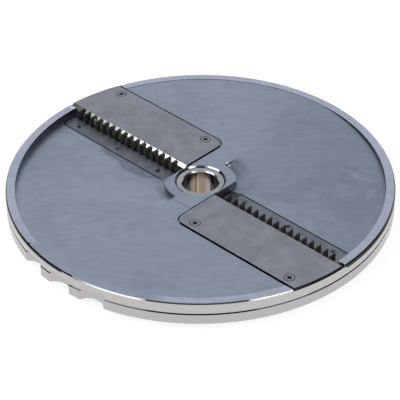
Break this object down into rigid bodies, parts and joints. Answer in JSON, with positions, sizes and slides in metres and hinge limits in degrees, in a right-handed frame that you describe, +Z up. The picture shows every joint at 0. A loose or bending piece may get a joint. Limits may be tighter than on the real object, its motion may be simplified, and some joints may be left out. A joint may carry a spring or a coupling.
{
  "type": "slicing disc",
  "caption": "Round matchstick cutting disc for a vegetable cutter, with opposed ground blades, upright combs, ramps, slots and a steel hub bush.",
  "frame": {"origin": "centre of the hub bush's lower end, on the turning axis, where the disc rests", "axes": "+Z up along the turning axis, +X along the cutting edge of unit 2; seen from above the disc turns anticlockwise in use"},
  "size_m": [0.205, 0.205, 0.0186],
  "materials": {
    "body_aluminium": "satin, turned",
    "bush_steel": "polished, turned",
    "blade_steel": "ground, satin",
    "bar_steel": "satin",
    "comb_steel": "ground, satin",
    "screw_steel": "satin"
  },
  "bodies": {
    "root": {"disc_body": "body_aluminium", "hub_bush": "bush_steel", "blade_plate_1": "blade_steel", "comb_bar_1": "bar_steel", "comb_blade_1_01": "comb_steel", "comb_blade_1_02": "comb_steel", "comb_blade_1_03": "comb_steel", "comb_blade_1_04": "comb_steel", "comb_blade_1_05": "comb_steel", "comb_blade_1_06": "comb_steel", "comb_blade_1_07": "comb_steel", "comb_blade_1_08": "comb_steel", "comb_blade_1_09": "comb_steel", "comb_blade_1_10": "comb_steel", "comb_blade_1_11": "comb_steel", "comb_blade_1_12": "comb_steel", "comb_blade_1_13": "comb_steel", "comb_blade_1_14": "comb_steel", "comb_blade_1_15": "comb_steel", "comb_blade_1_16": "comb_steel", "blade_screw_1_1": "screw_steel", "blade_screw_1_2": "screw_steel", "comb_screw_1_1": "screw_steel", "comb_screw_1_2": "screw_steel", "comb_screw_1_3": "screw_steel", "blade_plate_2": "blade_steel", "comb_bar_2": "bar_steel", "comb_blade_2_01": "comb_steel", "comb_blade_2_02": "comb_steel", "comb_blade_2_03": "comb_steel", "comb_blade_2_04": "comb_steel", "comb_blade_2_05": "comb_steel", "comb_blade_2_06": "comb_steel", "comb_blade_2_07": "comb_steel", "comb_blade_2_08": "comb_steel", "comb_blade_2_09": "comb_steel", "comb_blade_2_10": "comb_steel", "comb_blade_2_11": "comb_steel", "comb_blade_2_12": "comb_steel", "comb_blade_2_13": "comb_steel", "comb_blade_2_14": "comb_steel", "comb_blade_2_15": "comb_steel", "comb_blade_2_16": "comb_steel", "blade_screw_2_1": "screw_steel", "blade_screw_2_2": "screw_steel", "comb_screw_2_1": "screw_steel", "comb_screw_2_2": "screw_steel", "comb_screw_2_3": "screw_steel"}
  },
  "joints": []
}
